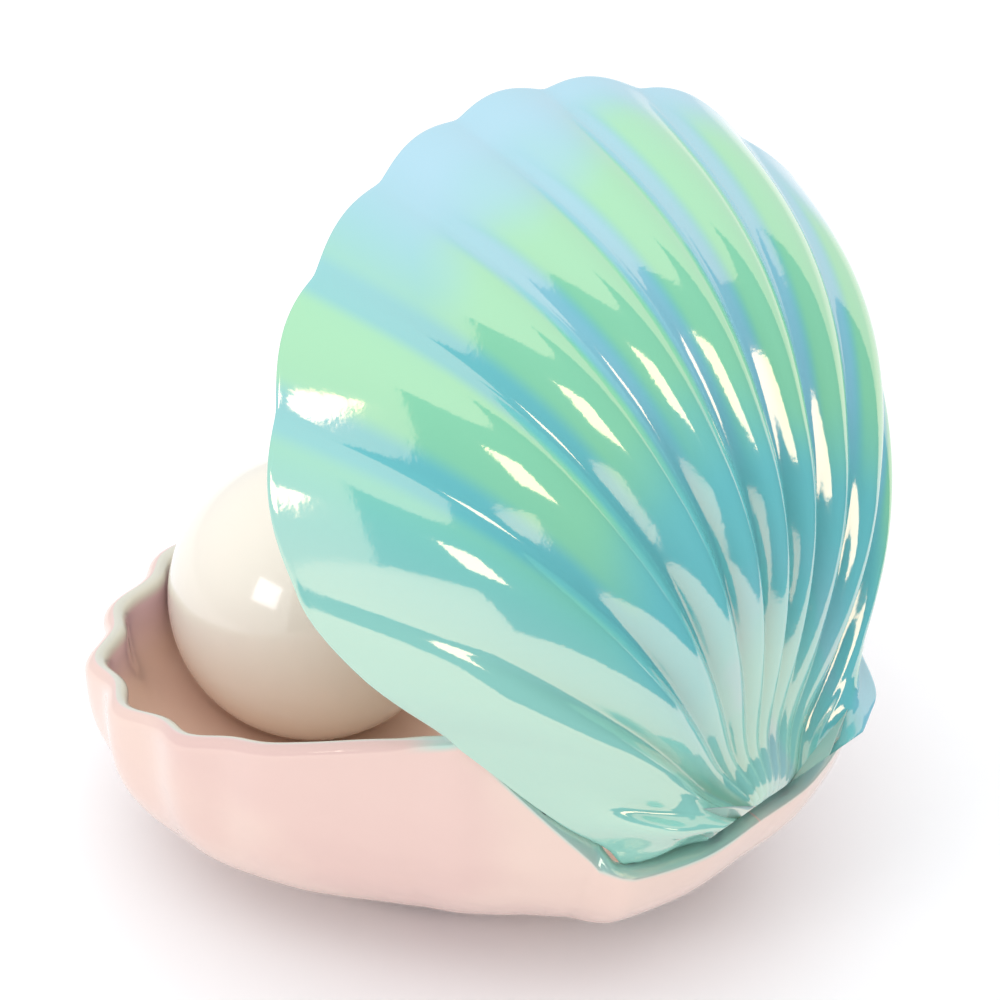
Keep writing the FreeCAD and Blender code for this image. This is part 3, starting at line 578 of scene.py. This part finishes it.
def turquoise_glaze():
    s = Shader("turquoise_glaze")
    along, rib, crest = s.attribute("along"), s.attribute("rib"), s.attribute("crest")
    cloud = s.noise(14, 2)
    teal, green_crest_sheen = linear(116, 208, 213), linear(146, 226, 186)
    blue_reflection_and_shade, mint_floor_reflection = linear(156, 216, 238), linear(154, 222, 210)
    shifted = s.number("ADD", along, s.number("MULTIPLY", s.number("SUBTRACT", cloud, 0.5), 0.35))
    # Pale mint near the umbo and on the outer ribs and flanks is painted reflection of the white
    # floor; teal is the glaze's own colour.
    colour = s.mix(s.span(shifted, 0.08, 0.34, 1.0, 0.0), teal, mint_floor_reflection)
    colour = s.mix(s.span(rib, 3.0, 4.2), colour, mint_floor_reflection)
    # The green band on the mid rib crests is painted iridescent sheen, fixed by place over the
    # glaze's own lustre.
    fade = s.number("MAXIMUM", s.span(shifted, 0.98, 0.86), s.span(rib, 1.2, 2.4))
    sheen_band = s.number("MULTIPLY", s.span(shifted, 0.44, 0.62), fade)
    on_rib = s.number("MULTIPLY", s.span(crest, 0.2, 0.65), s.span(rib, 3.9, 2.6))
    colour = s.mix(s.number("MULTIPLY", sheen_band, on_rib), colour, green_crest_sheen)
    # Blue in the grooves is painted groove shade, and blue near the margin is painted reflection of
    # the pale backdrop at a grazing angle.
    groove = s.number("MULTIPLY", s.span(crest, 0.55, 0.12),
                      s.span(shifted, 0.42, 0.64, 0.0, 0.75))
    edge = s.number("MAXIMUM", s.span(shifted, 0.84, 0.98), groove)
    colour = s.mix(s.number("MULTIPLY", edge, s.span(rib, 2.2, 0.6)), colour, blue_reflection_and_shade)
    streaks = s.noise(60, 2, 0.5, (1, 0.35, 0.35))
    low = s.number("MULTIPLY", s.span(streaks, 0.5, 0.62), s.span(along, 0.1, 0.45, 0.28, 0.0))
    colour = s.mix(low, colour, linear(190, 190, 226))
    inside = s.attribute("inside")
    colour = s.mix(inside, colour, linear(196, 226, 222))
    peel = s.bump(s.noise(330, 2, 0.6), 0.10, 0.0004)
    s.put(Base_Color=colour, Roughness=0.09, IOR=2.2, Specular_IOR_Level=0.9,
          Specular_Tint=(1.0, 0.62, 0.36), Coat_Weight=0.5, Coat_Roughness=0.03, Normal=peel)
    return s.material


def blush_glaze():
    s = Shader("blush_glaze")
    inside, depth = s.attribute("inside"), s.attribute("depth")
    cloud = s.noise(18, 2)
    wavy = s.number("ADD", depth, s.number("MULTIPLY", s.number("SUBTRACT", cloud, 0.5), 5.0))
    outer = s.mix(s.span(cloud, 0.4, 0.62), linear(226, 188, 182), linear(233, 200, 190))
    inner = s.mix(s.span(wavy, 4, 20), linear(236, 204, 214), linear(243, 208, 192))
    colour = s.mix(inside, outer, inner)
    lip = s.number("MULTIPLY", s.span(wavy, 4.5, 1.0), s.span(inside, 0.2, 0.5))
    colour = s.mix(lip, colour, linear(214, 212, 200))
    seam = s.number("MAXIMUM", s.span(wavy, 2.6, 0.4),
                    s.number("MULTIPLY", s.span(wavy, 16, 9), inside))
    back = s.span(s.number("ABSOLUTE", s.attribute("turn")), 124, 132)
    spray = s.number("MULTIPLY", s.number("MULTIPLY", seam, back), 0.8)
    colour = s.mix(spray, colour, linear(150, 210, 200))
    growth = s.node("ShaderNodeTexWave", wave_type="BANDS", bands_direction="Z")
    growth.inputs["Scale"].default_value = 22
    growth.inputs["Distortion"].default_value = 1.5
    growth.inputs["Detail"].default_value = 1
    growth.inputs["Detail Scale"].default_value = 6
    s.link(s.place(), growth.inputs["Vector"])
    lines = s.bump(growth.outputs["Fac"], 0.22, 0.0006)
    peel = s.bump(s.noise(330, 2, 0.6), 0.08, 0.0004, lines)
    s.put(Base_Color=colour, Roughness=0.10, IOR=1.9, Specular_IOR_Level=0.8,
          Specular_Tint=(1.0, 0.95, 0.72), Coat_Weight=0.5, Coat_Roughness=0.03, Normal=peel)
    return s.material


def pearl_glaze():
    s = Shader("pearl_glaze")
    tint = s.mix(s.span(s.noise(9, 2), 0.35, 0.65), linear(243, 235, 219), linear(239, 230, 214))
    s.put(Base_Color=tint, Roughness=0.13, IOR=1.55, Coat_Weight=0.8, Coat_Roughness=0.08,
          Normal=s.bump(s.noise(120, 2), 0.05, 0.0003))
    return s.material


def plain(name, light, dark, scale, roughness, metallic=0.0, bump=0.1, stretch=(1, 1, 1),
          distance=0.0003):
    s = Shader(name)
    grain = s.noise(scale, 4, 0.6, stretch)
    rough = s.span(grain, 0.3, 0.7, roughness * 0.8, min(roughness * 1.2, 1))
    s.put(Base_Color=s.mix(s.span(grain, 0.3, 0.7), dark, light), Roughness=rough,
          Metallic=metallic, Normal=s.bump(grain, bump, distance))
    return s.material


MATERIALS = {
    "turquoise_glaze": turquoise_glaze(),
    "blush_glaze": blush_glaze(),
    "pearl_glaze": pearl_glaze(),
    "rubber": plain("rubber", (0.030, 0.030, 0.031), (0.016, 0.016, 0.017), 400, 0.75),
    "silicone": plain("silicone", (0.62, 0.70, 0.70), (0.52, 0.60, 0.60), 200, 0.35),
    "brass": plain("brass", (0.72, 0.50, 0.20), (0.58, 0.38, 0.14), 500, 0.32, 1.0, 0.1,
                   (1, 1, 0.1)),
    "steel": plain("steel", (0.60, 0.60, 0.61), (0.44, 0.44, 0.46), 600, 0.30, 1.0, 0.12,
                   (0.08, 1, 1)),
    "air_stone": plain("air_stone", (0.40, 0.42, 0.45), (0.16, 0.17, 0.19), 900, 0.95, 0.0, 0.8,
                       (1, 1, 1), 0.0008),
    "clear_plastic": plain("clear_plastic", (0.66, 0.74, 0.74), (0.58, 0.66, 0.66), 120, 0.18),
    "cover_plastic": plain("cover_plastic", (0.66, 0.62, 0.56), (0.56, 0.52, 0.47), 900, 0.6),
    "bush_plastic": plain("bush_plastic", (0.86, 0.86, 0.82), (0.78, 0.78, 0.74), 300, 0.4),
}
SLOTS = {part["node"]: part["material_slot"] for part in frame["record"]["subparts"]}
for name, node in NODES.items():
    node.data.materials.clear()
    node.data.materials.append(MATERIALS[SLOTS[name]])
lands = [bpy.data.objects[n] for n in ("upper_hinge_land", "lower_hinge_land")]
for piece, slot in ((upper, "turquoise_glaze"), (lower, "blush_glaze"), (pearl, "pearl_glaze"),
                    (lands[0], "turquoise_glaze"), (lands[1], "blush_glaze")):
    piece.data.materials.clear()
    piece.data.materials.append(MATERIALS[slot])

# ---- floor, lights and camera ------------------------------------------------------------------
# Azimuth and elevation of the camera seen from its target, and its distance in metres.
AZIMUTH, ELEVATION = math.radians(133.0876), math.radians(36.8461)
CAMERA_DISTANCE = 1.4813
SENSOR, FOCAL_PER_WIDTH = 36, 5.820
WINDOW_DISTANCE = 1.3
DARK = (0.02, 0.022, 0.025)
back = Vector((math.sin(AZIMUTH) * math.cos(ELEVATION), -math.cos(AZIMUTH) * math.cos(ELEVATION),
               math.sin(ELEVATION)))
right = Vector((math.cos(AZIMUTH), math.sin(AZIMUTH), 0))
target = Vector((0, -0.00514, 0.060))


def stage_plane(name, size, place, colour):
    """Level matt sheet on the stage."""
    mesh = bpy.data.meshes.new(name)
    w, h = size[0] / 2, size[1] / 2
    mesh.from_pydata([(-w, -h, 0), (w, -h, 0), (w, h, 0), (-w, h, 0)], [], [(0, 1, 2, 3)])
    obj = bpy.data.objects.new(name, mesh)
    bpy.context.scene.collection.objects.link(obj)
    obj.location = place
    s = Shader(name)
    s.put(Base_Color=s.mix(s.span(s.noise(3, 2), 0.3, 0.7), colour,
                           tuple(min(c * 1.02, 1) for c in colour)),
          Roughness=0.9, Specular_IOR_Level=0.1)
    mesh.materials.append(s.material)
    obj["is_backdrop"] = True
    return obj


def area(name, place, toward, size, power, colour=(1, 1, 1)):
    """Rectangular light at a place, aimed at another."""
    data = bpy.data.lights.new(name, "AREA")
    data.shape = "RECTANGLE"
    data.size, data.size_y = size
    data.energy = power
    data.color = colour
    obj = bpy.data.objects.new(name, data)
    bpy.context.scene.collection.objects.link(obj)
    obj.location = place
    obj.rotation_mode = "QUATERNION"
    obj.rotation_quaternion = (Vector(toward) - Vector(place)).to_track_quat("-Z", "Y")
    return obj


def from_camera(turn, rise):
    """Direction turned right of the camera's azimuth and raised above the horizon, in degrees."""
    turn, rise = math.radians(turn), math.radians(rise)
    level = Vector((back.x, back.y, 0)).normalized()
    return (level * math.cos(turn) + right * math.sin(turn)) * math.cos(rise) + Vector(
        (0, 0, math.sin(rise)))


def glossy_only(obj):
    """Seen in reflections alone, so that it neither shades nor hides anything."""
    obj.visible_camera = False
    obj.visible_diffuse = False
    obj.visible_shadow = False
    obj.visible_transmission = False


def dark_stage(name, rings, turns):
    """Dark studio cloth: a strip between rings given as (radius, height)."""
    steps = 24
    points = []
    for radius, height in rings:
        for i in range(steps + 1):
            spot = from_camera(turns[0] + (turns[1] - turns[0]) * i / steps, 0) * radius
            points.append((spot.x, spot.y, height))
    faces = [(i, i + 1, i + steps + 2, i + steps + 1) for i in range(steps)]
    mesh = bpy.data.meshes.new(name)
    mesh.from_pydata(points, [], faces)
    obj = bpy.data.objects.new(name, mesh)
    bpy.context.scene.collection.objects.link(obj)
    s = Shader(name)
    s.put(Base_Color=s.mix(s.noise(3, 2), DARK, DARK), Roughness=0.9, Specular_IOR_Level=0.0)
    mesh.materials.append(s.material)
    obj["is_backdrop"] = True
    glossy_only(obj)
    return obj


stage_plane("floor", (5, 5), (0, 0, 0), (0.95, 0.95, 0.95))
dark_stage("dark_floor", ((0.29, 0.001), (1.6, 0.001)), (4, 112))
dark_stage("dark_wall", ((1.6, 0.0), (1.6, 2.9)), (-20, 112))
centre = Vector((0, 0, 0.1))
area("window_side", centre + from_camera(-43.7, 28.4) * WINDOW_DISTANCE, centre,
     (0.48, 0.40), 2.6, (1.0, 0.94, 0.98))
window_front = area("window_front", centre + from_camera(18, 28) * WINDOW_DISTANCE, centre,
                    (0.40, 0.50), 2.2)
window_front.visible_diffuse = False
ceiling = area("ceiling", (0, 0, 1.6), centre, (2.4, 2.4), 17, (1.0, 0.97, 0.93))
ceiling.visible_glossy = False

world = bpy.data.worlds.new("studio")
bpy.context.scene.world = world
world.use_nodes = True
world.node_tree.nodes["Background"].inputs["Color"].default_value = (0.84, 0.88, 0.93, 1)
world.node_tree.nodes["Background"].inputs["Strength"].default_value = 0.92

lens = bpy.data.cameras.new("camera")
camera = bpy.data.objects.new("camera", lens)
bpy.context.scene.collection.objects.link(camera)
lens.sensor_width = SENSOR
lens.lens = SENSOR * FOCAL_PER_WIDTH
lens.shift_x = 0.0190
lens.shift_y = 0.1272
lens.clip_start, lens.clip_end = 0.05, 50
camera.location = target + back * CAMERA_DISTANCE
camera.rotation_mode = "QUATERNION"
camera.rotation_quaternion = (-back).to_track_quat("-Z", "Y")
bpy.context.scene.camera = camera
bpy.context.scene.view_settings.view_transform = "Standard"

low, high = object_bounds()
